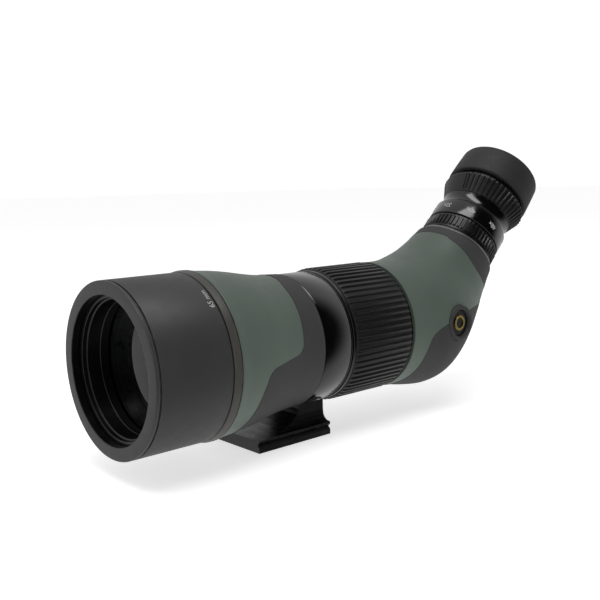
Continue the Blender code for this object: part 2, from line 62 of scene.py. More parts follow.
class Graph:
    """A short way to write a material's nodes."""

    def __init__(self, name):
        self.material = bpy.data.materials.new(name)
        self.material.use_nodes = True
        self.nodes = self.material.node_tree.nodes
        self.links = self.material.node_tree.links
        self.shader = self.nodes["Principled BSDF"]
        self.place = self.nodes.new("ShaderNodeTexCoord").outputs["Object"]

    def join(self, source, target):
        self.links.new(source, target)

    def noise(self, size_mm, detail=3.0, rough=0.55, stretch=None):
        """Noise from 0 to 1, with grains about size_mm across."""
        node = self.nodes.new("ShaderNodeTexNoise")
        node.inputs["Scale"].default_value = 1000.0 / size_mm
        node.inputs["Detail"].default_value = detail
        node.inputs["Roughness"].default_value = rough
        self.join(self.stretched(stretch), node.inputs["Vector"])
        return node.outputs["Fac"]

    def stretched(self, stretch):
        if stretch is None:
            return self.place
        node = self.nodes.new("ShaderNodeMapping")
        node.inputs["Scale"].default_value = stretch
        self.join(self.place, node.inputs["Vector"])
        return node.outputs["Vector"]

    def cells(self, size_mm):
        """Distance from the middle of pebbles about size_mm across."""
        node = self.nodes.new("ShaderNodeTexVoronoi")
        node.inputs["Scale"].default_value = 1000.0 / size_mm
        self.join(self.place, node.inputs["Vector"])
        return node.outputs["Distance"]

    def span(self, source, low, high, new_low, new_high):
        node = self.nodes.new("ShaderNodeMapRange")
        limits = {"From Min": low, "From Max": high, "To Min": new_low, "To Max": new_high}
        for socket, value in limits.items():
            node.inputs[socket].default_value = value
        self.join(source, node.inputs["Value"])
        return node.outputs["Result"]

    def maths(self, operation, first, second):
        node = self.nodes.new("ShaderNodeMath")
        node.operation = operation
        for socket, value in zip(node.inputs, (first, second)):
            if isinstance(value, float):
                socket.default_value = value
            else:
                self.join(value, socket)
        return node.outputs["Value"]

    def blend(self, share, first, second):
        """Mixes two colours; each is a colour or a socket."""
        node = self.nodes.new("ShaderNodeMix")
        node.data_type = "RGBA"
        self.join(share, node.inputs["Factor"])
        for socket, value in ((node.inputs[6], first), (node.inputs[7], second)):
            if isinstance(value, tuple):
                socket.default_value = (*value, 1.0)
            else:
                self.join(value, socket)
        return node.outputs[2]

    def bump(self, height, depth_mm, strength=1.0, below=None):
        node = self.nodes.new("ShaderNodeBump")
        node.inputs["Strength"].default_value = strength
        node.inputs["Distance"].default_value = depth_mm * MM
        self.join(height, node.inputs["Height"])
        if below is not None:
            self.join(below, node.inputs["Normal"])
        return node.outputs["Normal"]

    def edges(self, radius_mm):
        """1 near a convex or concave edge and 0 on open faces."""
        bevel = self.nodes.new("ShaderNodeBevel")
        bevel.samples = 4
        bevel.inputs["Radius"].default_value = radius_mm * MM
        geometry = self.nodes.new("ShaderNodeNewGeometry")
        dot = self.nodes.new("ShaderNodeVectorMath")
        dot.operation = "DOT_PRODUCT"
        self.join(bevel.outputs["Normal"], dot.inputs[0])
        self.join(geometry.outputs["Normal"], dot.inputs[1])
        return self.span(dot.outputs["Value"], 0.995, 0.9, 0.0, 1.0)


def tinted(colour, factor):
    return tuple(channel * factor for channel in colour)


def coated(name, colour, rough, grain_mm=0.5, grain_depth=0.02, vary=0.12, wear=None, specular=0.5, coat=0.0):
    """A painted, moulded or anodised surface: fine grain, drifting gloss, and edges lightened in patches, a
    painted edge highlight that is partly rubbed wear.
    """
    g = Graph(name)
    drift = g.noise(18.0, 4.0)
    patches = g.noise(5.0, 5.0, 0.65)
    base = g.blend(drift, tinted(colour, 1 - vary), tinted(colour, 1 + vary))
    # wear holds a lighter colour and its amount for the edges: painted edge highlight, broken up in patches
    # like rubbed wear.
    if wear:
        painted_edge_highlight_and_wear = g.maths("MULTIPLY", g.edges(0.7), g.span(patches, 0.45, 0.62, 0.0, wear[1]))
        base = g.blend(painted_edge_highlight_and_wear, base, wear[0])
    g.join(base, g.shader.inputs["Base Color"])
    g.join(g.span(patches, 0.3, 0.7, rough - 0.05, rough + 0.06), g.shader.inputs["Roughness"])
    if grain_depth:
        g.join(g.bump(g.noise(grain_mm, 2.0), grain_depth), g.shader.inputs["Normal"])
    g.shader.inputs["Specular IOR Level"].default_value = specular
    g.shader.inputs["Coat Weight"].default_value = coat
    g.shader.inputs["Coat Roughness"].default_value = 0.12
    return g.material


def rubber(name, colour, rough, stipple_mm=0.9, depth=0.05, vary=0.12, specular=0.4):
    """Moulded rubber: a pebbled skin, a dusty bloom on its high spots and a dull sheen."""
    g = Graph(name)
    pebbles = g.cells(stipple_mm)
    fine = g.noise(0.25, 2.0)
    drift = g.noise(22.0, 4.0)
    dust = g.noise(3.0, 6.0, 0.7)
    base = g.blend(drift, tinted(colour, 1 - vary), tinted(colour, 1 + vary))
    base = g.blend(g.span(dust, 0.5, 0.85, 0.0, 0.35), base, tinted(colour, 1.7))
    g.join(base, g.shader.inputs["Base Color"])
    g.join(g.span(dust, 0.3, 0.7, rough - 0.06, rough + 0.08), g.shader.inputs["Roughness"])
    low = g.bump(fine, depth * 0.4)
    g.join(g.bump(pebbles, depth, 0.8, low), g.shader.inputs["Normal"])
    g.shader.inputs["Specular IOR Level"].default_value = specular
    return g.material


def brushed(name, colour, rough, stretch, wear=0.1):
    """Turned or brushed metal, with its lines drawn along the stretch's small axis."""
    g = Graph(name)
    lines = g.noise(0.35, 3.0, 0.6, stretch)
    marks = g.noise(4.0, 5.0, 0.7)
    base = g.blend(g.span(marks, 0.35, 0.7, 0.0, 1.0), tinted(colour, 1 - wear), tinted(colour, 1 + wear))
    g.join(base, g.shader.inputs["Base Color"])
    g.join(g.span(lines, 0.3, 0.7, rough - 0.08, rough + 0.1), g.shader.inputs["Roughness"])
    g.join(g.bump(lines, 0.008), g.shader.inputs["Normal"])
    g.shader.inputs["Metallic"].default_value = 1.0
    return g.material


def glass(name, tint, film_nm):
    """Coated optical glass with a trace of dust."""
    g = Graph(name)
    dust = g.noise(1.3, 6.0, 0.75)
    g.join(g.span(dust, 0.62, 0.8, 0.0, 0.08), g.shader.inputs["Roughness"])
    g.join(g.blend(g.noise(30.0), tint, tinted(tint, 0.97)), g.shader.inputs["Base Color"])
    g.shader.inputs["Transmission Weight"].default_value = 1.0
    g.shader.inputs["IOR"].default_value = 1.52
    g.shader.inputs["Thin Film Thickness"].default_value = film_nm
    g.shader.inputs["Thin Film IOR"].default_value = 1.38
    return g.material


def printed(name, colour):
    """Pad-printed ink, a little worn."""
    g = Graph(name)
    worn = g.noise(0.8, 5.0, 0.7)
    faded = g.blend(g.span(worn, 0.5, 0.75, 0.0, 0.6), colour, tinted(colour, 0.6))
    g.join(faded, g.shader.inputs["Base Color"])
    g.shader.inputs["Roughness"].default_value = 0.5
    return g.material


# The tuples after each tone are the lighter edge colours and amounts: painted edge highlight, partly rubbed
# wear.
GREEN = coated("olive_green_paint", (0.086, 0.112, 0.092), 0.42, 0.45, 0.018, 0.06,
               ((0.16, 0.19, 0.165), 0.5), 0.45)
ARMOUR = rubber("armour_rubber", (0.040, 0.040, 0.040), 0.62, 0.8, 0.035)
HOOD = coated("sunshade_anodised", (0.036, 0.036, 0.036), 0.46, 0.3, 0.012, 0.08, ((0.11, 0.11, 0.11), 0.6),
              0.5)
BAND = coated("band_anodised", (0.054, 0.052, 0.047), 0.40, 0.3, 0.01, 0.08, ((0.16, 0.155, 0.14), 0.6), 0.5)
GLOSS = coated("gloss_black", (0.0015, 0.0015, 0.0015), 0.15, 0.6, 0.003, 0.2, ((0.03, 0.03, 0.03), 0.5),
               0.6, 0.35)
SATIN = coated("satin_black", (0.0035, 0.0035, 0.0035), 0.30, 0.4, 0.01, 0.15, ((0.04, 0.04, 0.04), 0.6), 0.5)
MATT = coated("matt_black_inside", (0.0035, 0.0035, 0.0035), 0.85, 0.4, 0.03, 0.2, None, 0.25)
GRIP = rubber("grip_rubber", (0.008, 0.008, 0.008), 0.38, 0.6, 0.02, 0.15, 0.5)
CUP_SKIN = rubber("eyecup_rubber", (0.022, 0.022, 0.022), 0.60, 0.5, 0.018, 0.1, 0.4)
STEEL = brushed("turned_steel", (0.46, 0.46, 0.45), 0.30, (1.0, 1.0, 0.15))
BRASS = brushed("turned_brass", (0.60, 0.43, 0.18), 0.32, (1.0, 1.0, 0.15))
GOLD = brushed("gold_emblem_metal", (0.80, 0.60, 0.20), 0.30, (0.2, 1.0, 1.0), 0.15)
RIM = brushed("neck_ring_metal", (0.24, 0.24, 0.24), 0.30, (1.0, 0.2, 1.0))
LENS = glass("coated_lens_glass", (0.96, 0.99, 0.97), 330.0)
# The front lens's glass is tinted near black with no coating film: painted shade for the dark inside of the
# tube seen through it.
FRONT_LENS_PAINTED_SHADE = glass("front_lens_painted_shade", (0.05, 0.055, 0.055), 0.0)
PRISM = glass("prism_glass", (0.95, 0.98, 0.96), 0.0)
INK = printed("pale_ink", (0.50, 0.50, 0.50))

NODE_LOOKS = {
    "front_barrel": GREEN, "rear_housing": GREEN, "front_armour": ARMOUR, "rear_armour": ARMOUR,
    "neck_armour": ARMOUR, "band_ring": BAND, "sunshade": HOOD, "objective_cell": MATT, "lens_retainer": MATT,
    "lens_spacer": MATT, "seat_ring": MATT, "chassis_tube": MATT, "front_baffle": MATT, "rear_baffle": MATT,
    "front_lens": LENS, "rear_lens": LENS, "focus_lens": LENS, "field_lens": LENS, "eye_lens": LENS,
    "zoom_lens_1": LENS, "zoom_lens_2": LENS, "prism": PRISM, "prism_plate": MATT, "prism_clip": STEEL,
    "collar_ring": GLOSS, "foot_block": SATIN, "foot_screw_1": STEEL, "foot_screw_2": STEEL,
    "tripod_socket": STEEL, "lock_knob": SATIN, "brake_shoe": BRASS, "focus_sleeve": GLOSS,
    "focus_grip": GRIP,
    "focus_cell": MATT, "focus_pin": BRASS, "badge_bezel": ARMOUR, "badge_disc": GLOSS, "badge_emblem": GOLD,
    "neck_ring": RIM, "eyepiece_socket": MATT, "lock_ring": SATIN, "eyepiece_barrel": MATT,
    "eye_lens_ring": SATIN, "zoom_scale_ring": GLOSS, "zoom_grip": GRIP, "zoom_cell_1": MATT,
    "zoom_cell_2": MATT, "click_ring": BRASS, "eyecup_sleeve": SATIN, "eyecup": CUP_SKIN,
}


for node_name, look in NODE_LOOKS.items():
    finishes = NODES[node_name].data.materials
    finishes.clear()
    finishes.append(look)


# ---- shapes ----

def placed(name, mesh, place, look, body, stands_for=(), smooth_deg=38, bevel_mm=0.0, slot=None):
    """Links a finished mesh, shades it smooth except at edges, and hands it to its body."""
    obj = bpy.data.objects.new(name, mesh)
    bpy.context.scene.collection.objects.link(obj)
    mesh.transform(place)
    mesh.materials.append(look)
    mesh.shade_smooth()
    mesh.set_sharp_from_angle(angle=math.radians(smooth_deg))
    if bevel_mm:
        bevel = obj.modifiers.new("Soft_edges", "BEVEL")
        bevel.width = bevel_mm * MM
        bevel.segments = 2
        bevel.limit_method = "ANGLE"
        bevel.angle_limit = math.radians(smooth_deg)
        bevel.harden_normals = True
    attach(obj, body)
    if stands_for:
        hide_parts(*stands_for)
    return obj


def ring_mesh(name, rings):
    """Skins rings of points, in millimetres, each to the next and the last to the first."""
    count = len(rings[0])
    points = [tuple(c * MM for c in point) for ring in rings for point in ring]
    faces = []
    for k in range(len(rings)):
        nxt = (k + 1) % len(rings)
        for i in range(count):
            j = (i + 1) % count
            faces.append((k * count + i, nxt * count + i, nxt * count + j, k * count + j))
    mesh = bpy.data.meshes.new(name)
    mesh.from_pydata(points, [], faces)
    outwards(mesh)
    return mesh


def outwards(mesh):
    """Turns the faces round if they point inwards."""
    mesh.calc_loop_triangles()
    volume = 0.0
    for triangle in mesh.loop_triangles:
        a, b, c = (mesh.vertices[i].co for i in triangle.vertices)
        volume += a.dot(b.cross(c))
    if volume < 0:
        mesh.flip_normals()


def circle(along, radius, steps):
    return [(radius * math.cos(math.tau * i / steps), radius * math.sin(math.tau * i / steps), along)
            for i in range(steps)]


def turned(name, profile, place, look, body, stands_for=(), steps=144, **more):
    """Turns a closed profile of (along, radius) round local Z."""
    mesh = ring_mesh(name, [circle(along, radius, steps) for along, radius in profile])
    return placed(name, mesh, place, look, body, stands_for, **more)


def rib_height(turn, flat, foot):
    """How far up a rib the surface is, from its middle outwards: flat top, sloping flank, then the root."""
    away = abs(turn)
    if away <= flat:
        return 1.0
    if away >= foot:
        return 0.0
    return 1.0 - (away - flat) / (foot - flat)


RIB_TURNS = (-0.46, -0.36, -0.27, -0.17, 0.0, 0.17, 0.27, 0.36)


def ribbed(name, stations, count, bore, place, look, body, stands_for, plain=None, **more):
    """A ring with sloping ribs. stations holds (along, root radius, crest radius) and bore (along, radius).

    plain, if given, is a low and a high angle in degrees, and how far up the ribs the ring is smooth there.
    """
    rings = []
    for along, root, crest in stations:
        ring = []
        for k in range(count):
            for turn in RIB_TURNS:
                angle = math.tau * (k + turn) / count
                radius = root + (crest - root) * rib_height(turn, 0.18, 0.36)
                if plain and within(math.degrees(angle), plain[0], plain[1]):
                    radius = root + (crest - root) * plain[2]
                ring.append((radius * math.cos(angle), radius * math.sin(angle), along))
        rings.append(ring)
    steps = count * len(RIB_TURNS)
    for along, radius in bore:
        rings.append(circle(along, radius, steps))
    return placed(name, ring_mesh(name, rings), place, look, body, stands_for, **more)


def within(angle, low, high):
    middle, half = (low + high) / 2, (high - low) / 2
    return abs((angle - middle + 180) % 360 - 180) <= half


def lettering(name, words, size_mm, place_point, look, body, depth_mm=0.08):
    """Flat generic characters laid on a curved surface: place_point turns text (x, y, lift) into a point."""
    curve = bpy.data.curves.new(name, "FONT")
    curve.body = words
    curve.size = size_mm * MM
    curve.align_x = "CENTER"
    curve.align_y = "CENTER"
    curve.extrude = depth_mm * MM / 2
    text = bpy.data.objects.new(name + "_text", curve)
    bpy.context.scene.collection.objects.link(text)
    bpy.context.view_layer.update()
    mesh = bpy.data.meshes.new_from_object(text.evaluated_get(bpy.context.evaluated_depsgraph_get()))
    bpy.data.objects.remove(text)
    mesh.name = name
    for vertex in mesh.vertices:
        x, y, z = (c / MM for c in vertex.co)
        vertex.co = Vector(place_point(x, y, z + depth_mm / 2)) * MM
    mesh.materials.clear()
    placed(name, mesh, Matrix.Identity(4), look, body)


def on_main(along, angle_deg, radius):
    """A point round the optical axis; angle from the top towards +Y."""
    angle = math.radians(angle_deg)
    return (along, radius * math.sin(angle), AXIS_Z + radius * math.cos(angle))


def on_eye(along, angle_deg, radius):
    """A point round the eyepiece axis; angle from its front and top side towards +Y."""
    bend, angle = math.radians(BEND_DEG), math.radians(angle_deg)
    across = radius * math.cos(angle)
    return (BEND_X - along * math.cos(bend) + across * math.sin(bend), radius * math.sin(angle),
            AXIS_Z + along * math.sin(bend) + across * math.cos(bend))


# ---- curved skins cut to an outline ----

def smooth(points, per=8):
    """A finer run of points through the given ones (Catmull-Rom)."""
    p = np.array(points, float)
    p = np.vstack([2 * p[0] - p[1], p, 2 * p[-1] - p[-2]])
    made = []
    for k in range(1, len(p) - 2):
        for step in range(per):
            t = step / per
            made.append(0.5 * (2 * p[k] + (p[k + 1] - p[k - 1]) * t
                               + (2 * p[k - 1] - 5 * p[k] + 4 * p[k + 1] - p[k + 2]) * t ** 2
                               + (3 * p[k] - p[k - 1] - 3 * p[k + 1] + p[k + 2]) * t ** 3))
    made.append(p[-2])
    return np.array(made)


def net(rings):
    """Points and triangles of a surface skinned over rings, facing outwards, in millimetres."""
    rings = np.array(rings, float)
    rows, columns = rings.shape[:2]
    triangles = []
    for k in range(rows - 1):
        for i in range(columns):
            j = (i + 1) % columns
            near, far = k * columns, (k + 1) * columns
            triangles += [(near + i, near + j, far + j), (near + i, far + j, far + i)]
    return rings.reshape(-1, 3), triangles


def clipped(points, triangles, field):
    """Keeps the part of a surface where field is negative, cut along the line where it is zero."""
    points, kept, crossings, values = list(points), [], {}, list(field)

    def crossing(i, j):
        key = (min(i, j), max(i, j))
        if key not in crossings:
            share = values[key[0]] / (values[key[0]] - values[key[1]])
            points.append(points[key[0]] + (points[key[1]] - points[key[0]]) * share)
            values.append(0.0)
            crossings[key] = len(points) - 1
        return crossings[key]

    for triangle in triangles:
        inside = [values[i] < 0 for i in triangle]
        if all(inside):
            kept.append(triangle)
            continue
        outline = []
        for k in range(3):
            i, j = triangle[k], triangle[(k + 1) % 3]
            if inside[k]:
                outline.append(i)
            if inside[k] != inside[(k + 1) % 3]:
                outline.append(crossing(i, j))
        if len(outline) >= 3:
            kept += [(outline[0], outline[k], outline[k + 1]) for k in range(1, len(outline) - 1)]
    used = sorted({i for triangle in kept for i in triangle})
    renumbered = {old: new for new, old in enumerate(used)}
    kept = [tuple(renumbered[i] for i in triangle) for triangle in kept]
    return np.array([points[i] for i in used]), kept


def normals_of(points, triangles):
    """The unit normal at each point, weighted by the area of the triangles round it."""
    corners = points[np.array(triangles)]
    across = np.cross(corners[:, 1] - corners[:, 0], corners[:, 2] - corners[:, 0])
    total = np.zeros_like(points)
    for k in range(3):
        np.add.at(total, np.array(triangles)[:, k], across)
    return total / np.maximum(np.linalg.norm(total, axis=1, keepdims=True), 1e-12)


def shell(name, points, triangles, up, down, look, body, stands_for=(), round_mm=0.12, **more):
    """A skin between up and down from the surface, with its rim rounded over."""
    normal = normals_of(points, triangles)
    count = len(points)
    once = set()
    for a, b, c in triangles:
        for edge in ((a, b), (b, c), (c, a)):
            if (edge[1], edge[0]) in once:
                once.discard((edge[1], edge[0]))
            else:
                once.add(edge)
    top, bottom = points + normal * up, points - normal * down
    if normals_face_in(points, normal):
        top, bottom = points - normal * up, points + normal * down
    faces = list(triangles) + [tuple(i + count for i in triangle[::-1]) for triangle in triangles]
    faces += [(a, a + count, b + count, b) for a, b in once]
    mesh = bpy.data.meshes.new(name)
    mesh.from_pydata([tuple(p * MM) for p in np.vstack([top, bottom])], [], faces)
    outwards(mesh)
    return placed(name, mesh, Matrix.Identity(4), look, body, stands_for, bevel_mm=round_mm, smooth_deg=50,
                  **more)


def normals_face_in(points, normal):
    """True if most normals point towards the surface's middle."""
    middle = points.mean(axis=0)
    spread = points - middle
    return float((spread * normal).sum()) < 0


def outline_field(outline, points):
    """Signed distance in side view from each point to an outline of (X, Z): negative inside it."""
    flat = points[:, [0, 2]]
    start = np.array(outline, float)
    end = np.roll(start, -1, axis=0)
    nearest = np.full(len(flat), 1e9)
    inside = np.zeros(len(flat), bool)
    for a, b in zip(start, end):
        run = b - a
        share = np.clip(((flat - a) @ run) / max(run @ run, 1e-12), 0, 1)
        nearest = np.minimum(nearest, np.linalg.norm(flat - a - share[:, None] * run, axis=1))
        if a[1] != b[1]:
            crosses = (a[1] > flat[:, 1]) != (b[1] > flat[:, 1])
            at = a[0] + (flat[:, 1] - a[1]) / (b[1] - a[1]) * run[0]
            inside ^= crosses & (flat[:, 0] < at)
    return np.where(inside, -nearest, nearest)


def badge_field(points):
    """Negative away from the badge's round seat on the left side."""
    away = np.hypot(points[:, 0] - BADGE_X, points[:, 2] - BADGE_Z)
    return np.where(points[:, 1] > 0, BEZEL_R - away, -5.0)


# ---- objective end ----

def objective_end():
    """Sunshade with a groove behind its lip, a darker black ring over the lip's inner wall as painted shade,
    and the stepped retainer and lens inside.
    """
    turned("sunshade_shell", [
        (99.0, 36.5), (99.0, 42.2), (98.85, 42.7), (98.5, 42.95), (98.1, 43.0), (97.3, 43.0), (97.15, 42.9),
        (97.05, 42.0), (96.15, 42.0), (96.05, 42.9), (95.9, 43.0), (57.6, 43.0), (57.1, 42.5), (57.0, 41.3),
        (95.4, 41.3), (95.4, 36.5)], MAIN, HOOD, "hood", ("sunshade",), bevel_mm=0.1)
    # A satin-black ring, darker than the hood's finish, over the inner wall of the lip: painted shade.
    turned("sunshade_lip_painted_shade", [
        (98.75, 36.2), (98.9, 36.35), (98.9, 36.5), (95.4, 36.5), (95.4, 36.2)], MAIN, SATIN, "hood")
    profile = [(94.1, 35.95), (79.6, 35.95), (80.4, 33.0), (84.6, 33.0), (84.9, 33.3), (91.6, 33.5),
               (91.9, 34.2), (93.9, 34.4), (94.1, 34.7)]
    turned("stepped_retainer", profile, MAIN, SATIN, "scope", ("lens_retainer",), bevel_mm=0.08)
    face = [(79.2 + 3.7 * (1 - (k / 12) ** 2), LENS_R * k / 12) for k in range(12, 0, -1)]
    back = [(75.6 - 5.2 * (1 - (k / 12) ** 2), LENS_R * k / 12) for k in range(1, 13)]
    lens = turned("objective_front_lens", face + [(82.9, 0.01)] + [(70.4, 0.01)] + back, MAIN, FRONT_LENS_PAINTED_SHADE,
                  "scope", ("front_lens",), steps=96, smooth_deg=60)
    lens.data.shade_smooth()


# The barrel's (X, radius), and its armour's upper edge in side view, as (X, Z).
BARREL = [(52.2, 43.5), (51.4, 43.75), (47.0, 43.0), (38.0, 42.2), (29.0, 40.9), (20.0, 39.2), (11.0, 37.7),
          (2.0, 36.8), (-6.7, 36.3)]
BARREL_ARMOUR = [(2.0, 100.0), (2.6, 90.0), (5.2, 85.0), (6.2, 78.1), (7.4, 67.2), (8.2, 60.0), (9.4, 55.6),
                 (12.4, 52.9), (19.9, 51.4), (26.7, 50.1), (31.0, 49.0), (33.9, 46.2), (35.6, 42.0),
                 (37.2, 36.5), (38.6, 29.5), (39.9, 23.5), (40.8, 17.0), (41.0, 0.0)]


def barrel_end():
    """The painted barrel, the armour that sweeps forward under it, and the band behind the sunshade."""
    rings = []
    for along, radius in smooth(BARREL, 7):
        rings.append([on_main(along, 360.0 * i / 200, radius) for i in range(200)])
    points, triangles = net(rings)
    shell("painted_barrel", points, triangles, 0.0, 1.9, GREEN, "scope", ("front_barrel",))
    outline = [(-30.0, 0.0), (-30.0, 100.0)] + [tuple(p) for p in smooth(BARREL_ARMOUR)]
    points, triangles = clipped(points, triangles, outline_field(outline, points))
    shell("barrel_armour", points, triangles, ARMOUR_UP, ARMOUR_DOWN, ARMOUR, "scope",
          ("front_armour",))
    turned("barrel_band", [
        (56.5, 41.3), (56.5, 42.6), (56.1, 43.1), (53.3, 43.75), (52.8, 43.75), (52.6, 43.3), (52.6, 41.3)],
        MAIN, BAND, "scope", ("band_ring",), bevel_mm=0.12)

    def curved(x, y, lift):
        return on_main(59.8 + y, 40.0 - math.degrees(x / HOOD_R), HOOD_R + lift)
    lettering("aperture_figure", "65 mm", 4.0, curved, INK, "hood")


# ---- focus ring ----

def focus():
    """Gloss flange and ribbed rubber sleeve of the focus ring."""
    turned("focus_flange", [
        (-27.85, 33.2), (-27.85, 36.1), (-28.1, 36.45), (-28.5, 36.5), (-29.3, 36.5), (-29.55, 36.3),
        (-29.6, 35.2), (-75.4, 35.2), (-75.4, 33.2)], MAIN, GLOSS, "focus_ring", ("focus_sleeve",),
        bevel_mm=0.06)
    front, rear = -29.95, -73.9
    stations = [(front, 36.3, 36.3), (front - 0.25, 36.7, 36.7), (front - 0.5, 36.7, 37.0),
                (front - 2.9, 36.7, 37.75), (rear + 1.6, 36.7, 37.75), (rear + 0.7, 36.7, 37.3),
                (rear + 0.4, 36.7, 36.9), (rear, 36.4, 36.4)]
    ribbed("focus_grip_sleeve", stations[::-1], 66, [(front, 35.6), (rear, 35.6)], MAIN, GRIP, "focus_ring",
           ("focus_grip",), slot="focus_grip_rubber", smooth_deg=30)


# ---- collar ----

def collar():
    """The gloss collar that the foot carries, and the boss that the clamp knob turns in."""
    turned("gloss_collar", [
        (-7.35, 33.1), (-7.35, 35.7), (-7.7, 36.1), (-8.1, 36.2), (-25.6, 36.2), (-25.9, 36.05),
        (-26.1, 35.6), (-26.3, 35.6), (-26.5, 36.05), (-26.8, 36.1), (-27.2, 35.9), (-27.4, 35.5),
        (-27.4, 33.1)],
        MAIN, GLOSS, "mount", ("collar_ring",))
    turned("clamp_boss", [(39.0, 2.9), (39.0, 5.8), (38.7, 6.15), (34.2, 6.2), (34.2, 2.9)], KNOB, GLOSS,
           "mount", steps=64)


# ---- rear housing ----

# Slanting sections of the elbow, from the focus ring to the neck: the top's X and Z, the bottom's X and Z,
# and half the width. Then the armour's edges: the lower one as (X, Z), the neck's along and across its axis.
HOUSING = [(-75.9, 90.2, -75.9, 15.4, 37.4), (-84.0, 90.1, -86.0, 14.6, 37.5),
           (-91.5, 90.4, -97.0, 12.7, 38.2), (-98.0, 91.2, -109.0, 11.6, 39.6),
           (-104.0, 92.7, -121.0, 13.8, 39.4), (-109.5, 94.4, -133.0, 20.6, 37.6),
           (-114.5, 96.3, -144.0, 30.0, 35.0), (-119.0, 98.6, -153.0, 40.0, 32.3),
           (-123.5, 101.1, -160.5, 50.5, 30.2), (-128.0, 103.7, -166.5, 59.8, 28.7),
           (-132.0, 106.0, -170.5, 66.0, 27.6), (-136.0, 108.5, -174.0, 70.7, 26.8)]
LOWER_EDGE = [(-82.0, 0.0), (-82.4, 16.0), (-84.6, 20.0), (-86.6, 26.6), (-87.6, 33.0), (-88.6, 39.4),
              (-89.9, 44.4), (-91.4, 47.4), (-94.0, 49.8), (-99.0, 52.4), (-104.5, 54.6), (-111.0, 57.4),
              (-120.0, 58.6), (-137.0, 59.6), (-160.0, 60.4), (-200.0, 61.0)]
NECK_EDGE = [(46.4, 60.0), (46.1, 28.0), (44.6, 23.7), (42.9, 18.6), (41.2, 14.2), (39.7, 10.2),
             (38.2, 4.6), (37.6, -2.0), (37.6, -7.5), (39.2, -16.0), (41.2, -28.0), (42.4, -60.0)]


def across_eye(along, across):
    """World (X, Z) of a point along and across the eyepiece axis."""
    bend = math.radians(BEND_DEG)
    return (BEND_X - along * math.cos(bend) + across * math.sin(bend),
            AXIS_Z + along * math.sin(bend) + across * math.cos(bend))


def rear_body():
    """The painted elbow that bends up to the eyepiece, with its lower and neck armour."""
    rings = []
    for ux, uz, lx, lz, half in smooth(HOUSING, 8):
        ring = []
        for i in range(176):
            turn = math.tau * i / 176
            share = math.cos(turn)
            ring.append(((ux + lx) / 2 + (ux - lx) / 2 * share, half * math.sin(turn),
                         (uz + lz) / 2 + (uz - lz) / 2 * share))
        rings.append(ring)
    points, triangles = net(rings)
    points, triangles = clipped(points, triangles, badge_field(points))
    shell("painted_elbow", points, triangles, 0.0, 2.0, GREEN, "scope", ("rear_housing",))
    lower = [(-200.0, 0.0)] + [tuple(p) for p in smooth(LOWER_EDGE)]
    neck = [across_eye(*p) for p in smooth(NECK_EDGE)] + [across_eye(70.0, -60.0), across_eye(70.0, 60.0)]
    patches = (("lower_armour", lower, "rear_armour"), ("neck_collar_armour", neck, "neck_armour"))
    for name, outline, node in patches:
        patch, faces = clipped(points, triangles, outline_field(outline, points))
        shell(name, patch, faces, ARMOUR_UP, ARMOUR_DOWN, ARMOUR, "scope", (node,))


# ---- eyepiece ----

def eyepiece():
    """Neck ring, lock ring, zoom ring with its figures and grip, and the eyecup."""
    turned("neck_trim_ring", [
        (55.4, 18.6), (55.4, 24.4), (54.9, 25.1), (54.2, 25.6), (53.0, 26.35), (52.5, 26.5), (52.2, 26.3),
        (52.2, 18.6)],
        EYE, RIM, "scope", ("neck_ring",), bevel_mm=0.1)
    ribbed("lock_ring_knurled", [
        (56.0, 23.7, 23.7), (56.2, 24.0, 24.0), (57.3, 24.1, 24.1), (57.5, 24.3, 24.7), (58.0, 24.3, 25.15),
        (64.0, 24.3, 25.15), (64.5, 24.3, 24.7), (64.7, 24.3, 24.4), (65.9, 24.3, 24.3), (66.1, 24.1, 24.1)],
        56, [(66.1, 20.2), (56.0, 20.2)], EYE, SATIN, "eyepiece_lock", ("lock_ring",), smooth_deg=30)
    turned("zoom_number_ring", [
        (66.7, 20.6), (66.7, 24.5), (67.0, 24.85), (77.2, 24.85), (77.7, 24.6), (78.2, 23.9), (79.2, 23.2),
        (80.4, 22.9), (82.0, 22.75), (83.6, 22.85), (85.0, 23.1), (86.3, 23.45), (86.3, 22.3), (87.0, 22.3),
        (98.9, 25.6), (98.9, 20.6)], EYE, GLOSS, "zoom_ring", ("zoom_scale_ring",), bevel_mm=0.08)
    ribbed("zoom_grip_sleeve", [
        (86.9, 22.9, 22.9), (87.1, 23.2, 23.2), (87.9, 23.5, 23.6), (88.4, 23.6, 24.2), (97.6, 27.2, 28.2),
        (98.0, 27.3, 28.0), (98.2, 27.4, 27.7), (98.9, 27.5, 27.8), (99.05, 27.2, 27.4)], 50,
        [(99.05, 26.1), (86.9, 22.65)], EYE, GRIP, "zoom_ring", ("zoom_grip",), plain=(-42.0, 4.0, 0.75),
        smooth_deg=30)
    for angle, words in ((-83, "16x"), (-43, "24x"), (-3, "32x"), (37, "40x"), (77, "48x")):
        def curved(x, y, lift, angle=angle):
            return on_eye(72.4 - y, angle - math.degrees(x / ZOOM_R), ZOOM_R + lift)
        lettering("zoom_figure_" + words, words, 4.3, curved, INK, "zoom_ring")
    turned("eyecup_rubber", [
        (124.2, 19.5), (124.3, 20.6), (124.2, 25.0), (123.9, 26.1), (123.2, 26.8), (122.2, 27.2),
        (113.0, 27.75), (105.2, 28.05), (103.9, 28.05), (103.3, 27.8), (103.05, 27.2), (103.05, 25.3),
        (119.9, 25.3), (119.9, 20.3), (121.0, 18.6), (123.5, 18.5)], EYE, CUP_SKIN, "eyecup_body",
        ("eyecup",), smooth_deg=45)


# ---- badge ----

